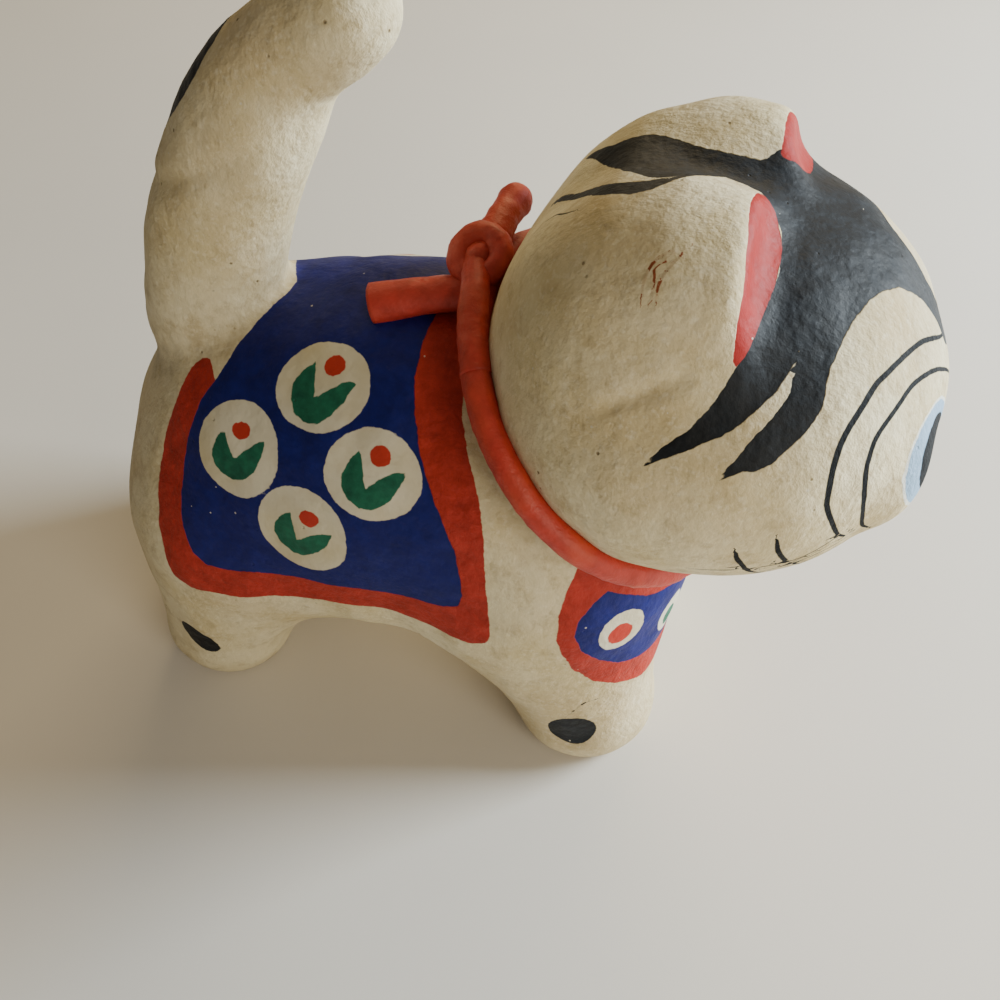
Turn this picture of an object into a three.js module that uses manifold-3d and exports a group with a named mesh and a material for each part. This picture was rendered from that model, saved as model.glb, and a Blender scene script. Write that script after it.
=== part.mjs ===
// Papier-mache dog: one moulded paper figure, with a rolled paper cord knotted round its neck.
// Millimetres, +Z up, +X towards the face, +Y to the dog's left.
// The group is moved so that the origin is on the ground, under the middle of the figure's length.

import * as THREE from 'three';
import { mergeVertices } from 'three/addons/utils/BufferGeometryUtils.js';
import { triTable } from 'three/addons/objects/MarchingCubes.js';
import Module from 'manifold-3d';

const wasm = await Module();
wasm.setup();

// Driving dimensions of the figure
const FIGURE_LENGTH = 126.4;
const HEAD_LENGTH = 63;
const HEAD_WIDTH = 65.6;
const HEAD_HEIGHT = 53.6;
const HEAD_CENTRE_HEIGHT = 78.5;
const EAR_LENGTH = 37;
const EAR_WIDTH = 30;
const EAR_DEPTH = 27.2;
const EAR_LEAN = 18;
const EAR_SPLAY = 19.5;
const EAR_TURN = 2.6;
const EAR_STAGGER = 0.9;
const EAR_FRONT_SLANT = 16;
const EAR_EDGE_ROUNDING = 1.8;
const EAR_FRONT_BLEND = 4;
const EAR_BACK_BLEND = 9;
const MUZZLE_LENGTH = 18.6;
const MUZZLE_WIDTH = 23;
const MUZZLE_HEIGHT = 16;
const EYE_HOLLOW_WIDTH = 11.2;
const FACE_BLEND = 4;
const CHEST_LENGTH = 45;
const CHEST_WIDTH = 51.6;
const CHEST_HEIGHT = 68;
const CHEST_CENTRE_HEIGHT = 46;
const BARREL_LENGTH = 60;
const BARREL_WIDTH = 57.2;
const BARREL_HEIGHT = 66.8;
const BARREL_CENTRE_HEIGHT = 47.7;
const RUMP_LENGTH = 59;
const RUMP_WIDTH = 54.8;
const RUMP_HEIGHT = 65.6;
const RUMP_CENTRE_HEIGHT = 42.5;
const TRUNK_BLEND = 12;
const LEG_TOP_HEIGHT = 34;
const FRONT_LEG_LEAN = 10;
const REAR_LEG_LEAN = 5;
const LEG_BLEND = 11;
const FRONT_FOOT_WIDTH = 26;
const FRONT_LEG_TOP_WIDTH = 37;
const FRONT_TRACK = 28;
const REAR_FOOT_WIDTH = 24.5;
const REAR_LEG_TOP_WIDTH = 34;
const REAR_TRACK = 33;
const TAIL_TIP_HEIGHT = 120.4;
const TAIL_REACH = 25;
const TAIL_BASE_WIDTH = 22;

// Driving dimensions of the collar
const CORD_DIAMETER = 4.2;
const CORD_BEDDING = 0.4;
const COLLAR_SLOPE = 41;
const KNOT_WIDTH = 10;
const CORD_END_DIAMETER = 5.4;
const REAR_END_LENGTH = 15;
const SIDE_END_LENGTH = 12;
const SEAT_CLEARANCE = 0.3;

// Facet sizes
const HEAD_CELL = 3.4;
const TRUNK_CELL = 5;
const TAIL_CELL = 3.4;
const FIELD_MARGIN = 6;
const RELAX_ROUNDS = 6;
const COLLAR_STEPS = 56;
const CORD_SIDES = 8;

const FORWARD = new THREE.Vector3(1, 0, 0);
const LEFTWARD = new THREE.Vector3(0, 1, 0);
const rad = THREE.MathUtils.degToRad;

// Places, worked out from the sizes
const headCentre = new THREE.Vector3((FIGURE_LENGTH - HEAD_LENGTH) / 2, 0, HEAD_CENTRE_HEIGHT);
const headRadii = new THREE.Vector3(HEAD_LENGTH, HEAD_WIDTH, HEAD_HEIGHT).multiplyScalar(0.5);
const chestCentre = new THREE.Vector3(headCentre.x - 0.29 * HEAD_LENGTH, 0, CHEST_CENTRE_HEIGHT);
const rumpCentre = new THREE.Vector3((RUMP_LENGTH - FIGURE_LENGTH) / 2, 0, RUMP_CENTRE_HEIGHT);
const barrelCentre = new THREE.Vector3((chestCentre.x + rumpCentre.x) / 2, 0, BARREL_CENTRE_HEIGHT);

// A point given as shares of the head's half sizes from its middle
function onHead(x, y, z) {
  return new THREE.Vector3(x, y, z).multiply(headRadii).add(headCentre);
}

// Fields: each one gives about the distance to a form's surface, negative inside it

function ellipsoid(centre, length, width, height, pitch = 0, roll = 0) {
  const radii = new THREE.Vector3(length, width, height).multiplyScalar(0.5);
  const q = new THREE.Vector3();
  return (p) => {
    q.copy(p).sub(centre);
    if (roll) q.applyAxisAngle(FORWARD, -rad(roll));
    if (pitch) q.applyAxisAngle(LEFTWARD, rad(pitch));
    const near = q.divide(radii).length();
    const slope = q.divide(radii).length();
    return (near * (near - 1)) / (slope + 1e-9);
  };
}

// A round bar that tapers from one ball to another
function taper(start, end, startWidth, endWidth) {
  const run = new THREE.Vector3().subVectors(end, start);
  const q = new THREE.Vector3();
  return (p) => {
    const share = THREE.MathUtils.clamp(q.subVectors(p, start).dot(run) / run.lengthSq(), 0, 1);
    const radius = THREE.MathUtils.lerp(startWidth, endWidth, share) / 2;
    return q.addScaledVector(run, -share).length() - radius;
  };
}

// The smaller of two distances, rounded over where they are alike
function blend(a, b, width) {
  const h = THREE.MathUtils.clamp(0.5 + (0.5 * (b - a)) / width, 0, 1);
  return b + (a - b) * h - width * h * (1 - h);
}

function join(width, ...fields) {
  return (p) => fields.map((field) => field(p)).reduce((a, b) => blend(a, b, width));
}

// An ear is an egg folded forward over the skull, with its front cut off at a slant.
// The pair is set a little over to the left, with the left ear further forward.
function ear(side) {
  const turn = -rad(EAR_TURN);
  const place = (x, y, z) => onHead(x, y * side, z)
    .sub(headCentre)
    .applyAxisAngle(FORWARD, turn)
    .add(headCentre)
    .addScaledVector(FORWARD, side * EAR_STAGGER);
  const egg = ellipsoid(
    place(-0.149, 0.351, 0.645), EAR_LENGTH, EAR_WIDTH, EAR_DEPTH, EAR_LEAN, -EAR_SPLAY * side - EAR_TURN);
  const edge = place(0.137, 0.364, 1.037);
  const facing = new THREE.Vector3(Math.cos(rad(EAR_FRONT_SLANT)), 0, Math.sin(rad(EAR_FRONT_SLANT)))
    .applyAxisAngle(FORWARD, turn - rad(EAR_SPLAY) * side);
  const q = new THREE.Vector3();
  return (p) => -blend(-egg(p), -q.subVectors(p, edge).dot(facing), EAR_EDGE_ROUNDING);
}

function headField() {
  const skull = ellipsoid(headCentre, HEAD_LENGTH, HEAD_WIDTH, HEAD_HEIGHT);
  const muzzle = ellipsoid(onHead(0.692, 0, -0.299), MUZZLE_LENGTH, MUZZLE_WIDTH, MUZZLE_HEIGHT);
  const brow = join(FACE_BLEND, skull, muzzle);
  // A shallow hollow for each eye, beside the muzzle
  const hollows = [-1, 1].map((side) =>
    ellipsoid(onHead(1.125, 0.36 * side, 0.02), EYE_HOLLOW_WIDTH, EYE_HOLLOW_WIDTH, EYE_HOLLOW_WIDTH));
  const face = (p) => hollows.reduce((d, hollow) => -blend(-d, hollow(p), FACE_BLEND), brow(p));
  const ears = [-1, 1].map(ear);
  // The ears run out softly behind and stand up sharply in front
  const softStart = onHead(-0.063, 0, 0).x;
  const softEnd = onHead(-0.508, 0, 0).x;
  return (p) => {
    const softness = THREE.MathUtils.smoothstep(softStart - p.x, 0, softStart - softEnd);
    const width = THREE.MathUtils.lerp(EAR_FRONT_BLEND, EAR_BACK_BLEND, softness);
    return ears.reduce((d, field) => blend(d, field(p), width), face(p));
  };
}

function leg(footX, lean, track, topWidth, footWidth, side) {
  const top = new THREE.Vector3(footX - lean, (side * (track - 0.22 * topWidth)) / 2, LEG_TOP_HEIGHT);
  const foot = new THREE.Vector3(footX, (side * track) / 2, 0.31 * footWidth);
  return taper(top, foot, topWidth, footWidth);
}

// The tail stands up from the rump, leans forward and ends in a soft knob past a narrow neck.
// Each row is the place along the reach, the place up the rise, and the width as a share of the base.
const TAIL_FORM = [
  [-0.03, 0, 0.98],
  [0.165, 0.38, 0.92],
  [0.49, 0.7, 0.85],
  [0.745, 0.876, 0.66],
  [1, 1, 0.7],
];
const TAIL_STEPS = 16;
const tailBase = new THREE.Vector3(
  rumpCentre.x - 0.2 * RUMP_LENGTH, 0, RUMP_CENTRE_HEIGHT + 0.42 * RUMP_HEIGHT);

function tailField() {
  const rise = TAIL_TIP_HEIGHT - tailBase.z;
  // X and Z hold the place, and Y holds the width
  const line = new THREE.CatmullRomCurve3(
    TAIL_FORM.map(([along, up, width]) =>
      new THREE.Vector3(tailBase.x + along * TAIL_REACH, width * TAIL_BASE_WIDTH, tailBase.z + up * rise)),
    false, 'catmullrom', 0.5);
  const points = line.getPoints(TAIL_STEPS);
  const bars = points.slice(1).map((end, i) => taper(
    new THREE.Vector3(points[i].x, 0, points[i].z), new THREE.Vector3(end.x, 0, end.z), points[i].y, end.y));
  return join(1, ...bars);
}

function trunkField() {
  const trunk = join(
    TRUNK_BLEND,
    ellipsoid(rumpCentre, RUMP_LENGTH, RUMP_WIDTH, RUMP_HEIGHT),
    ellipsoid(barrelCentre, BARREL_LENGTH, BARREL_WIDTH, BARREL_HEIGHT),
    ellipsoid(chestCentre, CHEST_LENGTH, CHEST_WIDTH, CHEST_HEIGHT));
  const frontX = chestCentre.x + 0.178 * CHEST_LENGTH;
  const rearX = rumpCentre.x - 0.252 * RUMP_LENGTH;
  const legs = [-1, 1].flatMap((side) => [
    leg(frontX, FRONT_LEG_LEAN, FRONT_TRACK, FRONT_LEG_TOP_WIDTH, FRONT_FOOT_WIDTH, side),
    leg(rearX, -REAR_LEG_LEAN, REAR_TRACK, REAR_LEG_TOP_WIDTH, REAR_FOOT_WIDTH, side),
  ]);
  return join(LEG_BLEND, trunk, ...legs);
}

// Corners and edges of a grid cell, in the order that the triangle table counts them
const CELL_CORNERS = [
  [0, 0, 0], [1, 0, 0], [1, 1, 0], [0, 1, 0], [0, 0, 1], [1, 0, 1], [1, 1, 1], [0, 1, 1],
];
const CELL_EDGES = [
  [0, 1], [1, 2], [3, 2], [0, 3], [4, 5], [5, 6], [7, 6], [4, 7], [0, 4], [1, 5], [2, 6], [3, 7],
];

// Faceted skin of the space where a field is below zero: points and triangles
function skin(field, box, cell) {
  const counts = box.getSize(new THREE.Vector3()).divideScalar(cell).ceil().addScalar(1).toArray();
  const index = (i, j, k) => i + counts[0] * (j + counts[1] * k);
  const place = (i, j, k) => new THREE.Vector3(i, j, k).multiplyScalar(cell).add(box.min);
  const values = new Float64Array(counts[0] * counts[1] * counts[2]);
  for (let k = 0; k < counts[2]; k++) {
    for (let j = 0; j < counts[1]; j++) {
      for (let i = 0; i < counts[0]; i++) values[index(i, j, k)] = field(place(i, j, k));
    }
  }
  const points = [];
  const triangles = [];
  const known = new Map();
  // The point where the surface crosses one edge, made once for all the cells that share it
  const crossing = (cornerA, cornerB) => {
    const a = index(...cornerA);
    const b = index(...cornerB);
    const key = a * values.length + b;
    if (!known.has(key)) {
      known.set(key, points.length);
      const share = THREE.MathUtils.clamp(values[a] / (values[a] - values[b]), 0.05, 0.95);
      points.push(place(...cornerA).lerp(place(...cornerB), share));
    }
    return known.get(key);
  };
  for (let k = 0; k < counts[2] - 1; k++) {
    for (let j = 0; j < counts[1] - 1; j++) {
      for (let i = 0; i < counts[0] - 1; i++) {
        const corners = CELL_CORNERS.map(([x, y, z]) => [i + x, j + y, k + z]);
        const row = 16 * corners.reduce((bits, c, n) => (values[index(...c)] < 0 ? bits | (1 << n) : bits), 0);
        for (let t = row; triTable[t] !== -1; t += 3) {
          const [a, b, c] = [0, 1, 2].map((n) => {
            const [from, to] = CELL_EDGES[triTable[t + n]];
            return crossing(corners[from], corners[to]);
          });
          triangles.push(a, c, b);
        }
      }
    }
  }
  return { points, triangles };
}

// Pull a point onto the surface, along the slope of the field
function settle(field, point, probe = 0.01) {
  for (let round = 0; round < 3; round++) {
    const value = field(point);
    const slope = new THREE.Vector3(...[0, 1, 2].map((n) => {
      const q = point.clone();
      q.setComponent(n, q.getComponent(n) + probe);
      return (field(q) - value) / probe;
    }));
    point.addScaledVector(slope, -value / Math.max(slope.lengthSq(), 0.05));
  }
}

// Even out the facets: each point moves towards the middle of its neighbours, then back to the surface
function relax(mesh, field) {
  const neighbours = mesh.points.map(() => new Set());
  for (let t = 0; t < mesh.triangles.length; t += 3) {
    const [a, b, c] = mesh.triangles.slice(t, t + 3);
    neighbours[a].add(b).add(c);
    neighbours[b].add(a).add(c);
    neighbours[c].add(a).add(b);
  }
  for (let round = 0; round < RELAX_ROUNDS; round++) {
    const middles = neighbours.map((set) =>
      [...set].reduce((sum, n) => sum.add(mesh.points[n]), new THREE.Vector3()).divideScalar(set.size));
    mesh.points.forEach((point, n) => {
      point.lerp(middles[n], 0.6);
      settle(field, point);
    });
  }
  return mesh;
}

// Solids and geometries

function solidOf(positions, triangles) {
  return new wasm.Manifold(new wasm.Mesh({
    numProp: 3,
    vertProperties: Float32Array.from(positions),
    triVerts: Uint32Array.from(triangles),
  }));
}

function solidOfField(field, low, high, cell) {
  const mesh = relax(skin(field, new THREE.Box3(low, high), cell), field);
  return solidOf(mesh.points.flatMap((point) => point.toArray()), mesh.triangles);
}

function solidOfGeometry(geometry) {
  geometry.deleteAttribute('normal');
  geometry.deleteAttribute('uv');
  const merged = mergeVertices(geometry);
  return solidOf(merged.attributes.position.array, merged.index.array);
}

function meshOf(name, solid, material) {
  const { vertProperties, triVerts } = solid.getMesh();
  const geometry = new THREE.BufferGeometry();
  geometry.setAttribute('position', new THREE.BufferAttribute(vertProperties, 3));
  geometry.setIndex(new THREE.BufferAttribute(triVerts, 1));
  geometry.computeVertexNormals();
  const mesh = new THREE.Mesh(geometry, material);
  mesh.name = name;
  return mesh;
}

// The figure

const head = headField();
const trunk = trunkField();
const tail = tailField();
const figure = (p) => blend(head(p), Math.min(trunk(p), tail(p)), 3);

function headSolid() {
  const reach = headRadii.clone().addScalar(FIELD_MARGIN);
  return solidOfField(head, headCentre.clone().sub(reach), headCentre.clone().add(reach), HEAD_CELL);
}

function trunkSolid() {
  const halfWidth = Math.max(CHEST_WIDTH, BARREL_WIDTH, RUMP_WIDTH, FRONT_TRACK + FRONT_LEG_TOP_WIDTH,
    REAR_TRACK + REAR_LEG_TOP_WIDTH) / 2 + FIELD_MARGIN;
  const front = chestCentre.x + Math.max(CHEST_LENGTH, FRONT_LEG_TOP_WIDTH + FRONT_FOOT_WIDTH) / 2;
  const rear = rumpCentre.x - Math.max(RUMP_LENGTH, REAR_LEG_TOP_WIDTH + REAR_FOOT_WIDTH) / 2;
  const top = Math.max(
    CHEST_CENTRE_HEIGHT + CHEST_HEIGHT / 2, BARREL_CENTRE_HEIGHT + BARREL_HEIGHT / 2,
    RUMP_CENTRE_HEIGHT + RUMP_HEIGHT / 2, LEG_TOP_HEIGHT + REAR_LEG_TOP_WIDTH / 2) + TRUNK_BLEND / 2;
  const low = new THREE.Vector3(rear - FIELD_MARGIN, -halfWidth, -2 * FIELD_MARGIN);
  const high = new THREE.Vector3(front + FIELD_MARGIN, halfWidth, top + FIELD_MARGIN);
  return solidOfField(trunk, low, high, TRUNK_CELL);
}

function tailSolid() {
  const reach = TAIL_BASE_WIDTH / 2 + FIELD_MARGIN;
  const low = new THREE.Vector3(tailBase.x, 0, tailBase.z).subScalar(reach);
  const high = new THREE.Vector3(tailBase.x + TAIL_REACH, 0, TAIL_TIP_HEIGHT).addScalar(reach);
  return solidOfField(tail, low, high, TAIL_CELL);
}

// Everything under the ground, so that the feet end flat on it
function ground() {
  const depth = 4 * FIELD_MARGIN;
  const slab = new THREE.BoxGeometry(2 * FIGURE_LENGTH, 2 * FIGURE_LENGTH, depth);
  return solidOfGeometry(slab.translate(0, 0, -depth / 2));
}

// The collar

const collarCentre = chestCentre.clone().lerp(headCentre, 0.54);
const throatward = new THREE.Vector3(Math.cos(rad(COLLAR_SLOPE)), 0, -Math.sin(rad(COLLAR_SLOPE)));
const collarAxis = new THREE.Vector3(-throatward.z, 0, throatward.x);

// Direction from the collar's middle: 0 is the nape, a quarter turn is the dog's right side
function outward(angle) {
  return throatward.clone().multiplyScalar(-Math.cos(angle)).addScaledVector(LEFTWARD, -Math.sin(angle));
}

// How far the cord's middle is from the collar's middle all the way round.
// It lies on the neck, and bridges its small hollows as a tight cord does.
function collarRadii() {
  const seat = CORD_DIAMETER / 2 - CORD_BEDDING;
  let radii = Array.from({ length: COLLAR_STEPS }, (_, n) => {
    const direction = outward((2 * Math.PI * n) / COLLAR_STEPS);
    let radius = FIGURE_LENGTH / 3;
    for (let round = 0; round < 60; round++) {
      radius -= 0.7 * (figure(collarCentre.clone().addScaledVector(direction, radius)) - seat);
    }
    return radius;
  });
  for (let round = 0; round < 3; round++) {
    radii = radii.map((radius, n) =>
      radius / 2 + (radii.at(n - 1) + radii.at((n + 1) % COLLAR_STEPS)) / 4);
  }
  return radii;
}

const ringRadii = collarRadii();

function ringPoint(step) {
  const direction = outward((2 * Math.PI * step) / COLLAR_STEPS);
  return collarCentre.clone().addScaledVector(direction, ringRadii[step % COLLAR_STEPS]);
}

// A torus bent to the collar's path, its cord thicker by grow on the radius
function ring(grow) {
  const geometry = new THREE.TorusGeometry(1, 0.2, CORD_SIDES, COLLAR_STEPS);
  const { position, uv } = geometry.attributes;
  const radius = CORD_DIAMETER / 2 + grow;
  for (let n = 0; n < position.count; n++) {
    const step = Math.round(uv.getX(n) * COLLAR_STEPS);
    const turn = 2 * Math.PI * uv.getY(n);
    const point = ringPoint(step)
      .addScaledVector(outward((2 * Math.PI * step) / COLLAR_STEPS), radius * Math.cos(turn))
      .addScaledVector(collarAxis, radius * Math.sin(turn));
    position.setXYZ(n, point.x, point.y, point.z);
  }
  return solidOfGeometry(geometry);
}

// The knot sits on the ring at the nape, over to the dog's left
const knotCentre = ringPoint(0).add(new THREE.Vector3(0.03, 0.3, 0.28).multiplyScalar(KNOT_WIDTH));

function knotCore(grow) {
  const core = new THREE.SphereGeometry(KNOT_WIDTH / 2 + grow, 14, 9);
  core.scale(0.88, 1, 0.92);
  return solidOfGeometry(core.translate(...knotCentre.toArray()));
}

// The turn of cord that shows on the knot's right side
function knotLoop(grow) {
  const loop = new THREE.TorusGeometry(0.32 * KNOT_WIDTH, 0.44 * CORD_DIAMETER + grow, 6, 14);
  const facing = new THREE.Vector3(-0.2, -0.72, 0.66).normalize();
  loop.applyQuaternion(new THREE.Quaternion().setFromUnitVectors(new THREE.Vector3(0, 0, 1), facing));
  const centre = knotCentre.clone().addScaledVector(facing, 0.17 * KNOT_WIDTH);
  return solidOfGeometry(loop.translate(...centre.toArray()));
}

// A free end of the cord: a bar along a bent line, cut off flat
function freeEnd([start, middle, end], grow) {
  const section = new THREE.Shape().absarc(0, 0, CORD_END_DIAMETER / 2 + grow, 0, 2 * Math.PI);
  const cut = end.clone().addScaledVector(end.clone().sub(middle).normalize(), grow);
  return solidOfGeometry(new THREE.ExtrudeGeometry(section, {
    steps: 5,
    curveSegments: CORD_SIDES / 2,
    extrudePath: new THREE.CatmullRomCurve3([start, middle, cut]),
    bevelEnabled: false,
  }));
}

function rearEnd(grow) {
  const start = knotCentre.clone().add(new THREE.Vector3(-0.1, -0.4, -0.36).multiplyScalar(KNOT_WIDTH));
  const along = new THREE.Vector3(-0.96, -0.24, -0.18).multiplyScalar(REAR_END_LENGTH);
  const middle = start.clone().addScaledVector(along, 0.5).add(new THREE.Vector3(0, 0, 0.4));
  return freeEnd([start, middle, start.clone().add(along)], grow);
}

function sideEnd(grow) {
  const start = knotCentre.clone();
  const along = new THREE.Vector3(0.12, 0.95, 0.16).multiplyScalar(SIDE_END_LENGTH);
  const middle = start.clone().addScaledVector(along, 0.5).add(new THREE.Vector3(0, 0, 0.5));
  const tip = new THREE.SphereGeometry(CORD_END_DIAMETER / 2 + grow, CORD_SIDES, 6);
  const bar = freeEnd([start, middle, start.clone().add(along)], grow);
  return bar.add(solidOfGeometry(tip.translate(...start.clone().add(along).toArray())));
}

function collar(grow) {
  return [ring, knotCore, knotLoop, rearEnd, sideEnd].map((make) => make(grow)).reduce((a, b) => a.add(b));
}

const paintedPaper = new THREE.MeshStandardMaterial({ color: '#ddd2b4', roughness: 0.75, metalness: 0 });
const redCord = new THREE.MeshStandardMaterial({ color: '#b23223', roughness: 0.6, metalness: 0 });

const moulded = [trunkSolid, tailSolid].reduce((whole, make) => whole.add(make()), headSolid())
  .subtract(ground())
  .subtract(collar(SEAT_CLEARANCE));
const dogMesh = meshOf('dog_figure', moulded, paintedPaper);
dogMesh.geometry.computeBoundingBox();

const dog = new THREE.Group();
dog.add(dogMesh);
dog.add(meshOf('collar_cord', collar(0), redCord));
dog.position.x = -dogMesh.geometry.boundingBox.getCenter(new THREE.Vector3()).x;

export default dog;
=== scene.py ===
import math

import bpy
import numpy as np
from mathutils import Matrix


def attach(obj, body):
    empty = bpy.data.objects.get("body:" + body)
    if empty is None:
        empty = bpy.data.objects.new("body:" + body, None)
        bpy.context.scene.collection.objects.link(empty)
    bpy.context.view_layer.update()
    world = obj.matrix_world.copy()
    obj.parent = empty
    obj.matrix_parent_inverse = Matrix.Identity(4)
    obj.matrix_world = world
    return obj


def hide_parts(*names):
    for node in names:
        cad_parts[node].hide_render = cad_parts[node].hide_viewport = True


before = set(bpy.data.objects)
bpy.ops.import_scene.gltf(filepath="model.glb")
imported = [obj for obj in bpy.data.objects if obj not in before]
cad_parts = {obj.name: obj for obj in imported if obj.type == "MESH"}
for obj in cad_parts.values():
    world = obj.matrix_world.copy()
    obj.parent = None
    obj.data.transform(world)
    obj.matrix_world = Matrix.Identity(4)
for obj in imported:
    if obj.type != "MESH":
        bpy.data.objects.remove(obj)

bl_info = {
    "name": "Papier-mache dog",
    "version": (1, 0, 0),
    "blender": (4, 5, 0),
    "location": "3D View > Sidebar > Paper dog",
    "description": "A hand-painted papier-mache dog with a rolled paper collar",
    "category": "Object",
}

# The frame's forms, in millimetres, with x from the middle of the figure's nominal length
FRAME_SHIFT = 0.134
HEAD_CENTRE = np.array([31.7, 0.0, 78.5])
HEAD_RADII = np.array([31.5, 32.8, 26.8])
CHEST = ((13.43, 0.0, 46.0), (22.5, 25.8, 34.0))
BARREL = ((-10.13, 0.0, 47.7), (30.0, 28.6, 33.4))
RUMP = ((-33.7, 0.0, 42.5), (29.5, 27.4, 32.8))
FRONT_LEG = ((11.44, 9.93, 34.0), (21.44, 14.0, 8.06), 18.5, 13.0)
REAR_LEG = ((-43.57, 12.76, 34.0), (-48.57, 16.5, 7.6), 17.0, 12.25)
EAR_TURN = math.radians(2.6)
EAR_SPLAY = 19.5
EAR_STAGGER = 0.9
EAR_FRONT_SLANT = math.radians(16.0)
EAR_CENTRE = np.array([-4.7, 11.5, 17.3])
EAR_RADII = (18.5, 15.0, 13.6)
EAR_EDGE = np.array([4.3, 11.95, 27.8])
# How far an ear's front is lifted, and how wide its cut edge is rounded
EAR_PITCH = 18.0
EAR_EDGE_ROUND = 1.8
# The muzzle and the swelling of an eye: place from the head's middle, half sizes, and width of the run-out
MUZZLE = ((21.8, 0.0, -8.0), (9.3, 11.5, 8.0), 4.0)
EYE_SWELLING = ((24.4, 12.0, -1.5), (5.8, 8.0, 7.5), 3.0)
# How widely an ear runs out into the skull in front and behind, and the length over which that changes
EAR_RUN_OUT = (4.0, 9.0)
EAR_RUN_OUT_START = 2.0
EAR_RUN_OUT_LENGTH = 14.0
# Widths over which the forms run into each other
TRUNK_BLEND = 12.0
LEG_BLEND = 11.0
JOIN_BLEND = 2.5
SOLE_EDGE = 1.2
# Each row is a place on the tail's middle line, along and up, and the tail's radius there
TAIL_LINE = [(-46.25, 70.05, 10.8), (-41.4, 89.2, 10.1), (-33.25, 105.3, 9.35), (-26.9, 114.2, 7.3),
             (-17.6, 121.1, 6.3)]
TAIL_STEPS = 16

# The painted face is turned a little to the dog's left of the head's own middle
FACE_TURN = math.radians(6.0)
HEAD_CHART_RADIUS = 30.0
# A distance that keeps a paint off a place, and how far an ear's red reaches from its cut face
FAR = 9.0
EAR_RED_REACH = (1.5, 6.0)
# The mask on the chart seen from the crown: place ahead, place out to the side.
# Its middle line runs from one place at the crown to another at the brow, and both halves are alike.
MASK_MIDDLE = (1.8, -0.09)
MASK_OUTLINE = [(-2.0, 2.6), (0.6, 3.3), (2.3, 5.4), (5.4, 8.0), (6.4, 14.0), (5.6, 19.0), (4.3, 26.2),
                (3.5, 28.5), (2.3, 32.0), (0.3, 35.0), (-2.8, 37.9), (-5.8, 41.0), (0.1, 38.0),
                (2.1, 36.6), (5.2, 34.7), (7.3, 32.3), (8.9, 29.9), (10.6, 27.1), (11.2, 24.3),
                (11.4, 21.7), (11.9, 24.3), (12.0, 27.1), (11.2, 30.1), (9.5, 33.5), (8.2, 36.5),
                (6.2, 40.7), (9.6, 38.3), (11.4, 37.9), (13.3, 36.0), (14.3, 34.1), (15.7, 31.6),
                (16.7, 29.0), (17.0, 26.8), (16.3, 24.0), (16.2, 21.6), (16.5, 17.8), (17.1, 14.3),
                (18.4, 10.9), (20.0, 8.1), (22.0, 5.8), (24.6, 3.9), (27.5, 2.3), (30.8, 2.0),
                (34.6, 1.7), (36.5, 0.6), (37.4, -1.6), (37.0, -6.0), (-2.0, -6.0)]
# The mask's two strokes down the back of the head, from the tip along the left edge and back on the right
BROAD_BACK_STROKE = [(-19.6, -6.3), (-15.0, -4.2), (-10.6, -3.5), (-7.2, -2.3), (-4.7, -1.4),
                     (-1.8, -1.1), (1.4, -1.3), (4.0, -2.0), (5.0, 2.0), (2.0, 4.6), (0.4, 3.2),
                     (-2.0, 2.7), (-4.0, 4.6), (-6.7, 6.9), (-9.9, 5.5), (-13.6, 2.2), (-17.0, -2.4)]
THIN_BACK_STROKE = [(-26.1, -1.2), (-21.5, 1.0), (-15.8, 4.9), (-10.9, 6.9), (-6.7, 7.0), (-4.4, 4.6),
                    (-3.4, 4.8), (-5.8, 7.5), (-8.2, 9.2), (-10.8, 9.5), (-14.4, 7.9), (-18.0, 5.3),
                    (-22.0, 1.9)]
# The ear's red front, on the chart of its cut face: outward along the ear, and up
EAR_RED = [(-7.3, 0.8), (-6.3, -2.0), (-4.7, -3.9), (-1.9, -5.4), (2.5, -5.6), (6.8, -4.9), (10.4, -4.4),
           (15.0, -3.4), (12.9, -0.6), (8.0, 1.9), (2.9, 3.9), (-1.6, 4.3), (-5.4, 2.6)]

# The saddle cloth on the trunk's chart: along the trunk, and down round it from the back's middle
CLOTH_MIDDLE_HEIGHT = 45.0
CLOTH_CHART_RADIUS = 30.0
CLOTH_BLUE = [(-31.5, -6.0), (-32.0, 1.2), (-33.8, 4.7), (-37.0, 11.3), (-38.9, 16.2), (-41.2, 20.7),
              (-43.2, 28.1), (-43.9, 37.4), (-43.3, 44.1), (-41.9, 48.2), (-39.5, 50.2), (-36.2, 50.4),
              (-28.5, 49.8), (-18.2, 49.0), (-8.8, 48.2), (-0.5, 47.6), (2.8, 46.6), (3.5, 44.0), (3.2, 41.2),
              (1.9, 34.9), (-0.5, 29.4), (-2.7, 24.9), (-4.6, 20.6), (-6.2, 16.6), (-7.4, 12.0), (-7.7, 6.0),
              (-6.0, -6.0)]
CLOTH_RED = [(-41.0, 13.8), (-42.4, 13.2), (-44.0, 14.9), (-45.9, 20.6), (-47.6, 27.4), (-48.8, 36.8),
             (-48.6, 45.4), (-47.6, 52.0), (-46.3, 55.3), (-43.6, 56.6), (-34.9, 56.6), (-24.6, 55.6),
             (-14.4, 54.8), (-5.3, 54.6), (5.0, 54.0), (8.0, 52.6), (8.4, 50.3), (7.4, 43.4), (6.2, 31.6),
             (5.0, 25.6), (2.9, 21.3), (0.5, 16.0), (-0.5, 9.0), (-1.0, -6.0), (-7.5, -6.0), (-7.7, 6.0),
             (-10.0, 25.0), (-12.0, 44.0), (-38.0, 44.0), (-41.0, 36.0), (-39.8, 24.0), (-39.0, 17.0)]
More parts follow.
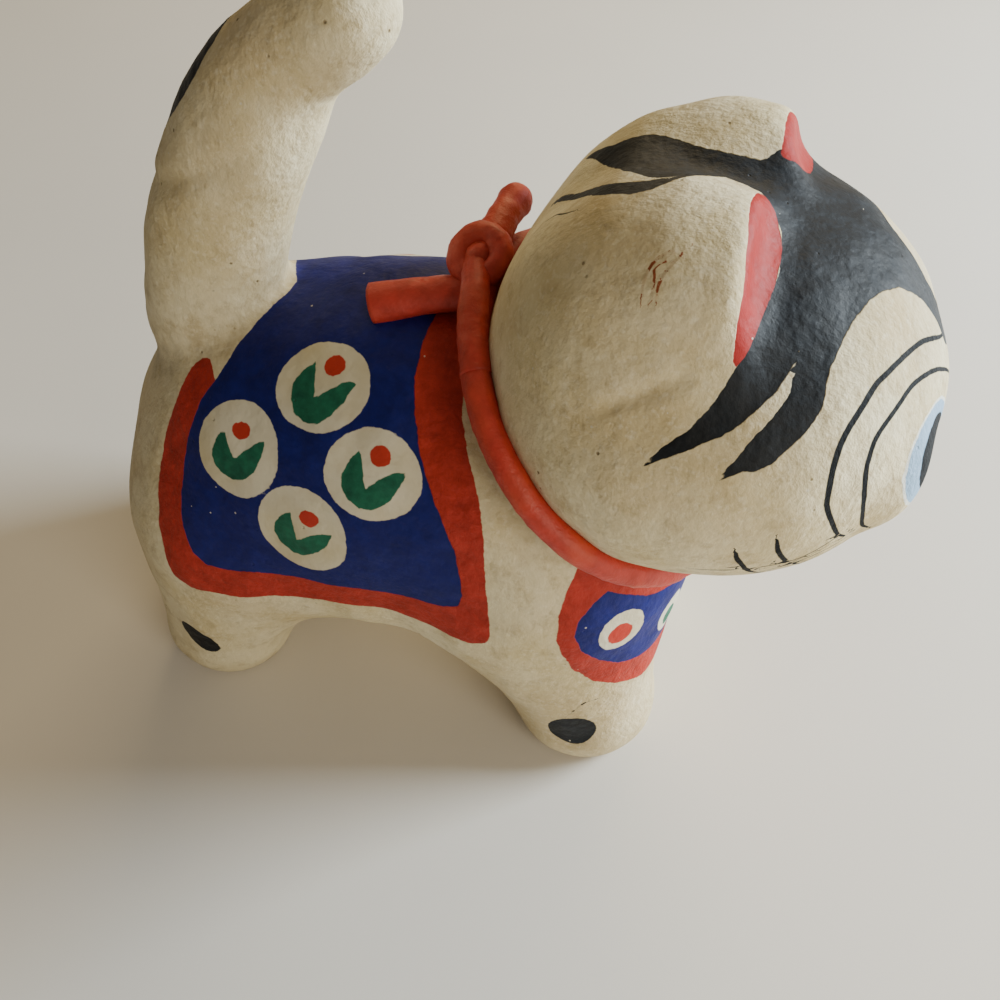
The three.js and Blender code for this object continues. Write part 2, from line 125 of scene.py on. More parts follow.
# Each roundel: its middle on that chart, half sizes, turn in degrees, and the turn of its tulip
ROUNDELS = [((-20.9, 15.5), (7.5, 6.1), -8.0, -4.0), ((-33.4, 26.9), (7.2, 7.9), 8.0, 10.0),
            ((-11.0, 25.8), (7.5, 6.6), -10.0, 0.0), ((-21.9, 37.8), (7.5, 7.9), -16.0, -6.0)]
# A tulip on the roundel's own chart: two leaves that meet in a notch, and a bud over it
TULIP = [(-2.1, 3.3), (-3.6, 1.9), (-4.7, -0.3), (-4.6, -2.3), (-3.5, -4.1), (-1.4, -5.1), (0.7, -4.8),
         (2.6, -3.3), (4.1, -1.1), (5.2, 1.6), (3.4, 1.3), (1.2, -0.1), (-0.7, -1.9), (-1.4, 0.6)]
TULIP_BUD = ((1.0, 3.1), 1.6)
# The left side's roundels sit this much lower than the right side's
LEFT_ROUNDEL_DROP = 2.6

# The bib on the chest's chart: round the chest from the front, and height
BIB_AXIS_X = 6.0
BIB_CHART_RADIUS = 27.0
BIB_START_X = 12.0
BIB_RED = [(26.5, 60.0), (27.6, 57.0), (29.8, 51.9), (30.9, 47.4), (31.3, 42.3), (30.4, 38.5), (28.4, 33.4),
           (25.7, 29.1), (21.8, 25.5), (16.6, 22.4), (8.0, 20.6), (0.0, 20.0), (-12.0, 20.0), (-12.0, 60.0)]
BIB_BLUE = [(24.1, 50.4), (26.6, 48.4), (28.4, 45.8), (28.9, 43.1), (27.7, 39.1), (24.9, 35.3), (21.8, 31.9),
            (17.5, 29.6), (8.0, 27.4), (0.0, 27.0), (-12.0, 27.0), (-12.0, 41.2), (0.0, 41.4), (8.0, 42.2),
            (14.5, 44.2), (17.3, 45.4), (20.7, 48.1)]
BIB_ROUNDELS = [((21.8, 41.0), (3.6, 4.1), True), ((11.2, 34.6), (3.2, 4.1), False),
                ((0.0, 33.2), (3.2, 4.1), True)]

# The eye and the mouth on the chart seen from the nose: out to the side, and up
LID_LINES = [[(-0.4, 12.4), (3.1, 14.2), (5.7, 15.9), (8.6, 17.3), (12.9, 18.0), (17.0, 18.0), (20.3, 17.2),
              (25.5, 13.6), (28.0, 9.2), (28.8, 4.4), (28.6, 0.8), (26.8, -3.6), (25.0, -6.6), (23.0, -8.4)],
             [(1.4, 7.0), (3.8, 9.3), (7.8, 12.2), (11.6, 13.6), (15.6, 13.6), (21.2, 11.2), (23.2, 8.0),
              (23.8, 4.4), (23.2, -1.1), (21.4, -6.2), (19.4, -8.2)]]
IRIS = ((10.4, 0.6), (7.0, 6.9))
PUPIL = ((9.8, 0.3), (5.1, 4.9))
MOUTH_LINES = [[(39.0, -18.0), (36.5, -16.6), (33.4, -15.2), (29.2, -13.2), (27.2, -11.4), (24.8, -7.8)],
               [(29.6, -18.4), (27.6, -14.8), (25.6, -12.4), (22.0, -9.8)],
               [(25.6, -15.4), (21.0, -13.4), (14.0, -14.6), (7.0, -16.4), (2.4, -15.6), (0.0, -12.6)],
               [(37.7, -8.4), (37.0, -10.2), (35.6, -12.4), (32.4, -16.6), (28.4, -19.8)],
               [(33.9, -4.4), (33.3, -6.4), (32.4, -8.4), (29.8, -12.2), (27.6, -14.6), (25.0, -16.2)]]
# Widest half of each lid and mouth line
LINE_HALVES = (0.46, 0.42, 0.2, 0.15, 0.17, 0.36, 0.36)
NOSE = ((0.0, -7.6), (3.4, 2.2))
# Thin hairs and brown scratches on the crown's chart, and a scratch over the front claw, along the figure
# and up
THIN_HAIRS = [[(-22.6, 6.4), (-20.4, 7.0), (-18.2, 8.6), (-16.4, 9.4)]]
CROWN_SCRATCHES = [[(-6.8, 20.8), (-6.6, 19.2), (-5.9, 17.6), (-4.4, 16.4)],
                   [(-5.4, 21.0), (-5.0, 19.0), (-3.4, 16.6)]]
LEG_SCRATCH = [(21.0, 18.6), (22.2, 20.6), (23.4, 22.2), (25.2, 22.6)]

# Each claw mark: a place on the leg, half sizes along the figure and up, and its turn in degrees
CLAW_MARKS = [((21.8, 26.8, 13.3), (4.1, 4.5), 0.0), ((-47.5, 28.8, 15.4), (4.5, 2.6), -53.0)]
# How far in from its place a claw mark may reach
CLAW_DEPTH = 9.0
# The tail's long mark: place along, place up, and half width
TAIL_MARK = [(-33.8, 117.4, 0.8), (-37.0, 114.8, 4.2), (-40.0, 110.8, 5.7), (-42.6, 106.6, 4.6),
             (-44.4, 102.0, 0.8)]

# How far the dust and the painted shade reach out of a crease
DUST_AND_SHADE_REACH = 3.0

# The collar, in millimetres
COLLAR_SLOPE = math.radians(41.0)
COLLAR_SHARE = 0.54
CORD_BEDDING = 0.4
COLLAR_PAINT_SPILL = 2.9
# Each free end: the way it points, and its length
TAILWARD_END = ((-0.96, -0.24, -0.18), 15.8)
LEFTWARD_END = ((0.12, 0.95, 0.16), 12.0)

# The box that the figure is moulded in
MOULD_BOX = ((-68.0, -36.0, -3.0), (67.0, 36.0, 131.0))

# The stage, in metres: each soft light's place, size, share of the set power, and colour
LIGHTS = {
    "window": ((0.50, 0.24, 0.26), 0.26, 5.9, (0.85, 0.95, 1.0)),
    "room": ((0.30, -0.26, 0.22), 0.2, 0.55, (1.0, 0.90, 0.70)),
    "lamp": ((-0.05, 0.85, 0.60), 0.6, 3.2, (1.0, 0.76, 0.38)),
}
LIGHT_TARGET = (0.0, 0.0, 0.04)
ROOM_GLOW = ("#ece2d2", 0.2)
FLOOR_REACH = 3.0
CAMERA_PLACE = (0.03604, -0.1174, 0.18004)
# The camera's turn from looking straight down, and its turn to the left, in degrees
CAMERA_PITCH = 90.0 - 49.25
CAMERA_TURN = 16.53


class DogForm(bpy.types.PropertyGroup):
    """Shape settings of the moulded paper"""

    cell: bpy.props.FloatProperty(
        name="Facet size", description="Grid step of the moulded surface", default=0.00086, min=0.0004,
        unit="LENGTH", precision=5)
    unevenness: bpy.props.FloatProperty(
        name="Unevenness", description="Height of the slow waves that layered paper dries into",
        default=0.00034, unit="LENGTH", precision=5)


class DogPaint(bpy.types.PropertyGroup):
    """Colours and brush sizes of the painting"""

    ground: bpy.props.StringProperty(name="Ground", description="Chalky ground, sRGB hex", default="#dfd4b3")
    red: bpy.props.StringProperty(name="Red", description="Vermilion border, sRGB hex", default="#b23428")
    blue: bpy.props.StringProperty(name="Blue", description="Ultramarine cloth, sRGB hex", default="#141c6c")
    green: bpy.props.StringProperty(name="Green", description="Viridian leaves, sRGB hex", default="#1f6b52")
    ink: bpy.props.StringProperty(name="Ink", description="Blue-black ink, sRGB hex", default="#12151a")
    coral: bpy.props.StringProperty(
        name="Ear red", description="Coral of the ears, sRGB hex", default="#a0231f")
    iris: bpy.props.StringProperty(
        name="Iris", description="Pale blue of the eyes, sRGB hex", default="#93afcb")


class DogCollar(bpy.types.PropertyGroup):
    """Sizes and colour of the cord collar"""

    thickness: bpy.props.FloatProperty(
        name="Cord", description="Thickness of the cord round the neck", default=0.0042, unit="LENGTH",
        precision=4)
    end_thickness: bpy.props.FloatProperty(
        name="Free end", description="Thickness of the free ends", default=0.0054, unit="LENGTH", precision=4)
    knot: bpy.props.FloatProperty(
        name="Knot", description="Width of the knot", default=0.01, unit="LENGTH", precision=4)
    red: bpy.props.StringProperty(name="Red", description="Red of the cord, sRGB hex", default="#c33a2c")


class DogStage(bpy.types.PropertyGroup):
    """Floor, light and view"""

    floor: bpy.props.StringProperty(name="Floor", description="Floor colour, sRGB hex", default="#d9d3ca")
    lens: bpy.props.FloatProperty(name="Lens", description="Focal length", default=38.6, unit="CAMERA")
    window_power: bpy.props.FloatProperty(
        name="Window light", description="Power of the large soft light", default=1.6, unit="POWER")


def unit(vector):
    """The vector at length one."""
    return np.asarray(vector, float) / np.linalg.norm(vector)


def metres(points):
    """Figure millimetres as metres in the frame."""
    return (np.asarray(points, float) + (FRAME_SHIFT, 0.0, 0.0)) / 1000.0


def about_length(points, angle, middle=HEAD_CENTRE):
    """Points turned about the line through the middle along the figure, the top to the right for more."""
    q = points - middle
    c, s = math.cos(angle), math.sin(angle)
    return np.stack([q[:, 0], q[:, 1] * c - q[:, 2] * s, q[:, 1] * s + q[:, 2] * c], axis=1)


def blend(a, b, width):
    """The smaller of two distances, rounded over where they are alike."""
    h = np.clip(0.5 + 0.5 * (b - a) / width, 0.0, 1.0)
    return b + (a - b) * h - width * h * (1.0 - h)


def carve(a, b, width):
    """The larger of two distances, rounded over where they are alike."""
    return -blend(-a, -b, width)


def egg(points, centre, radii, pitch=0.0, roll=0.0):
    """About the distance to an ellipsoid. Pitch lifts its front and roll turns its top to the right."""
    q = points - np.asarray(centre, float)
    if roll:
        q = about_length(q, -math.radians(roll), 0.0)
    if pitch:
        c, s = math.cos(math.radians(pitch)), math.sin(math.radians(pitch))
        q = np.stack([q[:, 0] * c + q[:, 2] * s, q[:, 1], -q[:, 0] * s + q[:, 2] * c], axis=1)
    near = np.sqrt(((q / radii) ** 2).sum(axis=1)) + 1e-9
    slope = np.sqrt(((q / np.square(radii)) ** 2).sum(axis=1)) + 1e-9
    return near * (near - 1.0) / slope


def taper(points, start, end, start_radius, end_radius):
    """Distance to a round bar that tapers from one ball to another."""
    run = np.asarray(end, float) - start
    q = points - start
    share = np.clip(q @ run / (run @ run), 0.0, 1.0)
    radius = start_radius + (end_radius - start_radius) * share
    return np.linalg.norm(q - share[:, None] * run, axis=1) - radius


def smooth_line(points, steps, closed=False):
    """Points on a Catmull-Rom curve through the given ones, with so many steps between each two."""
    p = np.asarray(points, float)
    if closed:
        p = np.vstack([p[-1], p, p[0], p[1]])
    else:
        p = np.vstack([2 * p[0] - p[1], p, 2 * p[-1] - p[-2]])
    t = np.linspace(0.0, 1.0, steps, endpoint=False)[:, None]
    spans = []
    for a, b, c, d in zip(p, p[1:], p[2:], p[3:]):
        spans.append(0.5 * (2 * b + (c - a) * t + (2 * a - 5 * b + 4 * c - d) * t ** 2
                            + (3 * b - a - 3 * c + d) * t ** 3))
    if not closed:
        spans.append(p[-2:-1])
    return np.vstack(spans)


def ear_place(points, side):
    """Points in the frame of one ear pair, before it is turned over to the left."""
    return about_length(points, EAR_TURN) - (side * EAR_STAGGER, 0.0, 0.0)


def ear_axes(side):
    """The way that an ear's cut face looks, the way up it, and the way outward along it."""
    splay = math.radians(EAR_SPLAY) * side
    up = np.array([0.0, math.sin(splay), math.cos(splay)])
    ahead = np.array([1.0, 0.0, 0.0])
    facing = ahead * math.cos(EAR_FRONT_SLANT) + up * math.sin(EAR_FRONT_SLANT)
    rise = up * math.cos(EAR_FRONT_SLANT) - ahead * math.sin(EAR_FRONT_SLANT)
    outward = np.array([0.0, math.cos(splay), -math.sin(splay)]) * side
    return facing, rise, outward


def ear_field(points, side):
    """An ear: an egg folded forward over the skull, with its front cut off at a slant."""
    q = ear_place(points, side)
    mirror = np.array([1.0, side, 1.0])
    form = egg(q, EAR_CENTRE * mirror, EAR_RADII, EAR_PITCH, -EAR_SPLAY * side)
    front = (q - EAR_EDGE * mirror) @ ear_axes(side)[0]
    return carve(form, front, EAR_EDGE_ROUND)


def skull_field(points):
    """The head without its ears, with a soft muzzle and a low swelling for each eye."""
    d = egg(points, HEAD_CENTRE, HEAD_RADII)
    place, radii, width = MUZZLE
    d = blend(d, egg(points, HEAD_CENTRE + place, radii), width)
    place, radii, width = EYE_SWELLING
    for side in (-1, 1):
        d = blend(d, egg(points, HEAD_CENTRE + np.multiply(place, (1.0, side, 1.0)), radii), width)
    return d


def head_field(points):
    """The head. The ears run out softly behind and stand up sharply in front."""
    d = skull_field(points)
    t = np.clip((HEAD_CENTRE[0] - EAR_RUN_OUT_START - points[:, 0]) / EAR_RUN_OUT_LENGTH, 0.0, 1.0)
    softness = EAR_RUN_OUT[0] + (EAR_RUN_OUT[1] - EAR_RUN_OUT[0]) * t * t * (3.0 - 2.0 * t)
    for side in (-1, 1):
        d = blend(d, ear_field(points, side), softness)
    return d


def trunk_field(points):
    """The trunk and its four stub legs."""
    d = egg(points, *RUMP)
    for form in (BARREL, CHEST):
        d = blend(d, egg(points, *form), TRUNK_BLEND)
    for side in (-1, 1):
        for top, foot, top_radius, foot_radius in (FRONT_LEG, REAR_LEG):
            mirror = np.array([1.0, side, 1.0])
            leg = taper(points, np.array(top) * mirror, np.array(foot) * mirror, top_radius, foot_radius)
            d = blend(d, leg, LEG_BLEND)
    return d


def tail_field(points):
    """The tail, thick at its foot and with a soft knob past a narrow neck."""
    line = smooth_line(TAIL_LINE, TAIL_STEPS // (len(TAIL_LINE) - 1))
    d = None
    for (x, z, radius), (next_x, next_z, next_radius) in zip(line, line[1:]):
        bar = taper(points, np.array([x, 0.0, z]), np.array([next_x, 0.0, next_z]), radius, next_radius)
        d = bar if d is None else blend(d, bar, 1.0)
    return d


def figure_field(points):
    """The whole figure, standing flat on the ground."""
    body = blend(trunk_field(points), tail_field(points), JOIN_BLEND)
    return carve(blend(body, head_field(points), JOIN_BLEND), -points[:, 2], SOLE_EDGE)


def slow_waves(points, seed, lengths, count=7):
    """Smooth unevenness about -1 to 1: waves of the given lengths in random directions."""
    chance = np.random.default_rng(seed)
    total = np.zeros(len(points))
    for length in lengths:
        for _ in range(count):
            direction = unit(chance.normal(size=3))
            total += np.sin(points @ direction * (2.0 * math.pi / length) + chance.uniform(0.0, 6.28))
    return total / math.sqrt(count * len(lengths))


def hand_work(points):
    """What the maker's hands and drying left: slow waves, a crease round the tail and a dent in the cheek."""
    height = slow_waves(points, 4, (9.0, 17.0, 34.0)) * 0.55
    height = height * np.clip(points[:, 2] / 6.0, 0.0, 1.0)
    tail = points[:, 0] < -20.0
    fold = np.abs(points[:, 2] - 104.0 - 0.5 * (points[:, 0] + 34.0) - 1.4 * np.sin(points[:, 1] / 4.0))
    height -= 2.2 * np.exp(-(fold / 1.8) ** 2) * tail * np.clip(-points[:, 1] / 5.0, 0.0, 1.0)
    dent = taper(points, np.array([22.0, -27.6, 92.0]), np.array([30.0, -25.9, 97.2]), 0.0, 0.0)
    height -= 2.4 * np.exp(-(dent / 1.0) ** 2)
    return height


def grid_values(field, low, counts, cell):
    """The field at each corner of a grid."""
    axes = [low[n] + cell * np.arange(counts[n]) for n in range(3)]
    values = np.empty(counts)
    y, z = np.meshgrid(axes[1], axes[2], indexing="ij")
    for i, x in enumerate(axes[0]):
        values[i] = field(np.stack([np.full(y.size, x), y.ravel(), z.ravel()], axis=1)).reshape(y.shape)
    return values


def surface_net(field, low, high, cell):
    """Points and four-sided faces of the skin where a field is zero, one point in each crossed cell."""
    low = np.asarray(low, float)
    counts = tuple(np.ceil((np.asarray(high) - low) / cell).astype(int) + 1)
    values = grid_values(field, low, counts, cell)
    cells = tuple(n - 1 for n in counts)
    total = np.zeros(cells + (3,))
    hits = np.zeros(cells)
    quads = []
    crossings = []
    for axis in range(3):
        near = np.moveaxis(values, axis, 0)[:-1]
        far = np.moveaxis(values, axis, 0)[1:]
        crossed = np.argwhere((near < 0.0) != (far < 0.0))
        start = near[tuple(crossed.T)]
        share = start / (start - far[tuple(crossed.T)])
        corner = np.insert(crossed[:, 1:], axis, crossed[:, 0], axis=1)
        place = corner.astype(float)
        place[:, axis] += share
        others = [n for n in range(3) if n != axis]
        crossings.append((axis, others, corner, start < 0.0))
        for back_a in (0, 1):
            for back_b in (0, 1):
                cell_index = corner.copy()
                cell_index[:, others[0]] -= back_a
                cell_index[:, others[1]] -= back_b
                key = tuple(cell_index.T)
                np.add.at(total, key, place)
                np.add.at(hits, key, 1.0)
    number = np.full(cells, -1)
    used = np.argwhere(hits > 0)
    number[tuple(used.T)] = np.arange(len(used))
    points = total[tuple(used.T)] / hits[tuple(used.T)][:, None] * cell + low
    for axis, others, corner, leaving in crossings:
        ring = []
        for back_a, back_b in ((0, 0), (1, 0), (1, 1), (0, 1)):
            cell_index = corner.copy()
            cell_index[:, others[0]] -= back_a
            cell_index[:, others[1]] -= back_b
            ring.append(number[tuple(cell_index.T)])
        ring = np.stack(ring, axis=1)
        turned = leaving if axis != 1 else ~leaving
        ring[~turned] = ring[~turned][:, ::-1]
        quads.append(ring)
    return points, np.vstack(quads)


def slope_of(field, points, value, probe=0.02):
    """The field's gradient at each point."""
    return np.stack([(field(points + np.eye(3)[n] * probe) - value) / probe for n in range(3)], axis=1)


def settle(field, points, rounds=2):
    """Points pulled onto the surface along the slope of the field."""
    for _ in range(rounds):
        value = field(points)
        slope = slope_of(field, points, value)
        points = points - slope * (value / np.maximum((slope ** 2).sum(axis=1), 0.05))[:, None]
    return points


def relax(points, quads, field, rounds=3):
    """Points evened out: each one moves towards the middle of its neighbours, then back to the surface."""
    a = quads.ravel()
    b = np.roll(quads, -1, axis=1).ravel()
    count = np.bincount(a, minlength=len(points)) + np.bincount(b, minlength=len(points))
    for _ in range(rounds):
        middle = np.stack([
            np.bincount(a, points[b, n], len(points)) + np.bincount(b, points[a, n], len(points))
            for n in range(3)], axis=1) / count[:, None]
        points = settle(field, 0.5 * points + 0.5 * middle, 1)
    return settle(field, points, 2)


def collar_frame():
    """The collar's middle, the way down its slope to the throat, and the way it faces."""
    chest = np.array(CHEST[0])
    middle = chest + (HEAD_CENTRE - chest) * COLLAR_SHARE
    throatward = np.array([math.cos(COLLAR_SLOPE), 0.0, -math.sin(COLLAR_SLOPE)])
    return middle, throatward


def collar_path(thickness, steps=168):
    """The cord's middle line round the neck, from the nape round the dog's right side."""
    middle, throatward = collar_frame()
    turn = 2.0 * math.pi * np.arange(steps) / steps
    out = -np.cos(turn)[:, None] * throatward - np.sin(turn)[:, None] * np.array([0.0, 1.0, 0.0])
    seat = thickness / 2.0 - CORD_BEDDING
    reach = np.full(steps, 42.0)
    for _ in range(60):
        reach -= 0.7 * (figure_field(middle + out * reach[:, None]) - seat)
    for _ in range(27):
        reach = reach / 2.0 + (np.roll(reach, 1) + np.roll(reach, -1)) / 4.0
    return middle + out * reach[:, None]


def outline_distance(places, outline):
    """Distance on a chart to a closed outline, negative inside it."""
    corners = np.asarray(outline, float)
    nearest = np.full(len(places), 1e9)
    inside = np.zeros(len(places), bool)
    for a, b in zip(corners, np.roll(corners, -1, axis=0)):
        run = b - a
        q = places - a
        share = np.clip(q @ run / (run @ run), 0.0, 1.0)
        nearest = np.minimum(nearest, ((q - share[:, None] * run) ** 2).sum(axis=1))
        if a[1] == b[1]:
            continue
        between = (a[1] > places[:, 1]) != (b[1] > places[:, 1])
        inside ^= between & (places[:, 0] < a[0] + (places[:, 1] - a[1]) * run[0] / run[1])
    return np.sqrt(nearest) * np.where(inside, -1.0, 1.0)


def oval_distance(places, centre, radii, turn=0.0):
    """About the distance on a chart to an oval, negative inside it."""
    c, s = math.cos(math.radians(turn)), math.sin(math.radians(turn))
    q = (places - centre) @ np.array([[c, -s], [s, c]])
    near = np.linalg.norm(q / radii, axis=1) + 1e-9
    return near * (near - 1.0) / (np.linalg.norm(q / np.square(radii), axis=1) + 1e-9)


def line_distance(places, line):
    """Distance on a chart to the left of an open line, and how far along it is the nearest place."""
    corners = np.asarray(line, float)
    nearest = np.full(len(places), 1e9)
    across = np.full(len(places), 1e9)
    along = np.zeros(len(places))
    for n, (a, b) in enumerate(zip(corners, corners[1:])):
        run = b - a
        q = places - a
        share = np.clip(q @ run / (run @ run), 0.0, 1.0)
        gap = np.linalg.norm(q - share[:, None] * run, axis=1)
        side = np.sign(run[0] * q[:, 1] - run[1] * q[:, 0])
        closer = gap < nearest
        nearest = np.where(closer, gap, nearest)
        across = np.where(closer, gap * side, across)
        along = np.where(closer, (n + share) / (len(corners) - 1), along)
    return nearest, across, along


def chart_of_head(points, pole):
    """Points on the head on a flat chart about a pole, 0 the nose and 2 the crown, in millimetres.

    Distances from the pole are true on a ball of the head's mean radius. The painted face is turned
    to the left.
    """
    q = about_length(points, FACE_TURN) / HEAD_RADII
    q /= np.linalg.norm(q, axis=1)[:, None] + 1e-9
    reach = np.arccos(np.clip(q[:, pole], -1.0, 1.0)) * HEAD_CHART_RADIUS
    across = -q[:, 1]
    other = q[:, 0] if pole == 2 else q[:, 2]
    size = np.hypot(across, other) + 1e-9
    return reach * other / size, reach * across / size


def paint_head(points):
    """Distances to the painted face: the ink, the lines, the ears' red and the eyes."""
    gate = head_field(points) - np.minimum(trunk_field(points), tail_field(points))
    ahead, right = chart_of_head(points, 2)
    middle = MASK_MIDDLE[0] + MASK_MIDDLE[1] * ahead
    ink = outline_distance(np.stack([ahead, middle + np.abs(right - middle)], axis=1), MASK_OUTLINE)
    crown = np.stack([ahead, right], axis=1)
    for stroke in (BROAD_BACK_STROKE, THIN_BACK_STROKE):
        ink = np.minimum(ink, outline_distance(crown, smooth_line(stroke, 3, closed=True)))
    right, up = chart_of_head(points, 0)[::-1]
    nose = np.stack([np.abs(right), up], axis=1)
    ink = np.minimum(ink, oval_distance(nose, *NOSE))
    leg = np.stack([points[:, 0], points[:, 2] + 99.0 * (points[:, 1] > 0.0)], axis=1)
    strokes = [(nose, line, half, 0.0) for line, half in zip(LID_LINES + MOUTH_LINES, LINE_HALVES)]
    strokes += [(crown, line, 0.13, 0.0) for line in THIN_HAIRS]
    strokes += [(crown, line, 0.17, 1.0) for line in CROWN_SCRATCHES] + [(leg, LEG_SCRATCH, 0.2, 0.5)]
    near, across, half, brown = (np.full(len(points), value) for value in (FAR, FAR, 0.4, 0.0))
    for chart, line, widest, tint in strokes:
        gap, offset, along = line_distance(chart, smooth_line(line, 5))
        if tint != 0.5:
            gap = gap + np.where(gate < 0.0, 0.0, FAR)
        closer = gap < near
        near = np.where(closer, gap, near)
        across = np.where(closer, offset, across)
        body = np.sqrt(np.clip(np.sin(math.pi * np.clip(along, 0.02, 0.98)), 0.0, 1.0))
        half = np.where(closer, widest * (0.3 + 0.7 * body), half)
        brown = np.where(closer, tint, brown)
    iris = oval_distance(nose, *IRIS)
    pupil = oval_distance(nose, *PUPIL)
    red = np.full(len(points), FAR)
    for side in (-1, 1):
        facing, rise, outward = ear_axes(side)
        q = ear_place(points, side) - EAR_EDGE * np.array([1.0, side, 1.0])
        face = np.stack([q @ outward, q @ rise - q @ facing], axis=1)
        patch = outline_distance(face, smooth_line(EAR_RED, 3, closed=True))
        red = np.minimum(red, np.maximum(patch, np.abs(q @ facing - EAR_RED_REACH[0]) - EAR_RED_REACH[1]))
    return {"ink": np.maximum(ink, gate), "line_near": near, "line_across": across, "line_half": half,
            "line_brown": brown, "ear_red": np.maximum(red, gate), "iris": np.maximum(iris, gate),
            "pupil": np.maximum(pupil, gate)}


def paint_cloth(points, cord):
    """Distances to the saddle cloth and the bib: their reds, their blues and their tulip roundels."""
    gate = trunk_field(points) - np.minimum(head_field(points), tail_field(points))
    side = np.abs(points[:, 1])
    round_back = np.arctan2(side, points[:, 2] - CLOTH_MIDDLE_HEIGHT) * CLOTH_CHART_RADIUS
    saddle = np.stack([points[:, 0], round_back], axis=1)
    round_chest = np.arctan2(side, points[:, 0] - BIB_AXIS_X) * BIB_CHART_RADIUS
    chest = np.stack([round_chest, points[:, 2]], axis=1)
    bib_only = np.where(points[:, 0] > BIB_START_X, 0.0, FAR)
    red = np.minimum(outline_distance(saddle, CLOTH_RED), outline_distance(chest, BIB_RED) + bib_only)
    blue = np.minimum(outline_distance(saddle, CLOTH_BLUE), outline_distance(chest, BIB_BLUE) + bib_only)
    path = collar_path(cord)
    gap = np.full(len(points), 99.0)
    near = (points[:, 0] > -10.0) & (points[:, 2] > 40.0)
    for place in path:
        gap[near] = np.minimum(gap[near], np.linalg.norm(points[near] - place, axis=1))
    red = np.minimum(red, gap - cord / 2.0 - COLLAR_PAINT_SPILL)
    white = np.full(len(points), FAR)
    green = white.copy()
    bud = white.copy()
    saddle = saddle - np.outer(points[:, 1] > 0.0, (0.0, LEFT_ROUNDEL_DROP))
    for centre, radii, turn, tulip_turn in ROUNDELS:
        white = np.minimum(white, oval_distance(saddle, centre, radii, turn))
        c, s = math.cos(math.radians(tulip_turn)), math.sin(math.radians(tulip_turn))
        q = (saddle - centre) * (1.0, -1.0) @ np.array([[c, -s], [s, c]])
        green = np.minimum(green, outline_distance(q, TULIP))
        bud = np.minimum(bud, oval_distance(q, TULIP_BUD[0], (TULIP_BUD[1], TULIP_BUD[1] * 0.9)))
    for centre, radii, is_red in BIB_ROUNDELS:
        white = np.minimum(white, oval_distance(chest, centre, radii) + bib_only)
        core = oval_distance(chest, np.add(centre, (0.3, -0.5)), np.multiply(radii, 0.52)) + bib_only
        if is_red:
            bud = np.minimum(bud, core)
        else:
            green = np.minimum(green, core)
    layers = {"cloth_red": red, "cloth_blue": blue, "roundel": white, "leaf": green, "bud": bud}
    return {name: np.maximum(values, gate) for name, values in layers.items()}


def paint_marks(points, ink):
    """The ink with the claw marks and the long mark down the tail's back."""
    for centre, radii, turn in CLAW_MARKS:
        q = np.stack([points[:, 0] - centre[0], points[:, 2] - centre[2]], axis=1)
        oval = oval_distance(q, (0.0, 0.0), radii, turn)
        ink = np.minimum(ink, np.maximum(oval, centre[1] - CLAW_DEPTH - np.abs(points[:, 1])))
    tail = np.array(TAIL_MARK)
    line = smooth_line(tail, 4)
    for (x, z, radius), (next_x, next_z, next_radius) in zip(line, line[1:]):
        mark = taper(points, np.array([x, 0.0, z]), np.array([next_x, 0.0, next_z]), radius, next_radius)
        ink = np.minimum(ink, mark)
    return ink


def crease_dust_and_shade(points):
    """How near a point is to a crease, where dust and painted shade darken the ground: 1 in it, 0 away."""
    crease = np.minimum(np.abs(head_field(points)) + np.abs(trunk_field(points)),
                        np.abs(trunk_field(points)) + np.abs(tail_field(points)))
    return np.exp(-crease / DUST_AND_SHADE_REACH)


def new_mesh_object(name, points, faces, smooth=True):
    """A mesh object from points in metres."""
    mesh = bpy.data.meshes.new(name)
    mesh.from_pydata([tuple(p) for p in points], [], [tuple(int(i) for i in f) for f in faces])
    mesh.validate()
    for polygon in mesh.polygons:
        polygon.use_smooth = smooth
    obj = bpy.data.objects.new(name, mesh)
    bpy.context.scene.collection.objects.link(obj)
    return obj


def write_paint(obj, name, values):
    """One number a point, kept on the mesh for its material."""
    layer = obj.data.attributes.new(name, "FLOAT", "POINT")
    layer.data.foreach_set("value", np.asarray(values, np.float32))


def linear(hex_colour):
    """An sRGB hex colour as linear light, with alpha."""
    parts = [int(hex_colour[i:i + 2], 16) / 255.0 for i in (1, 3, 5)]
    return tuple(c / 12.92 if c <= 0.04045 else ((c + 0.055) / 1.055) ** 2.4 for c in parts) + (1.0,)


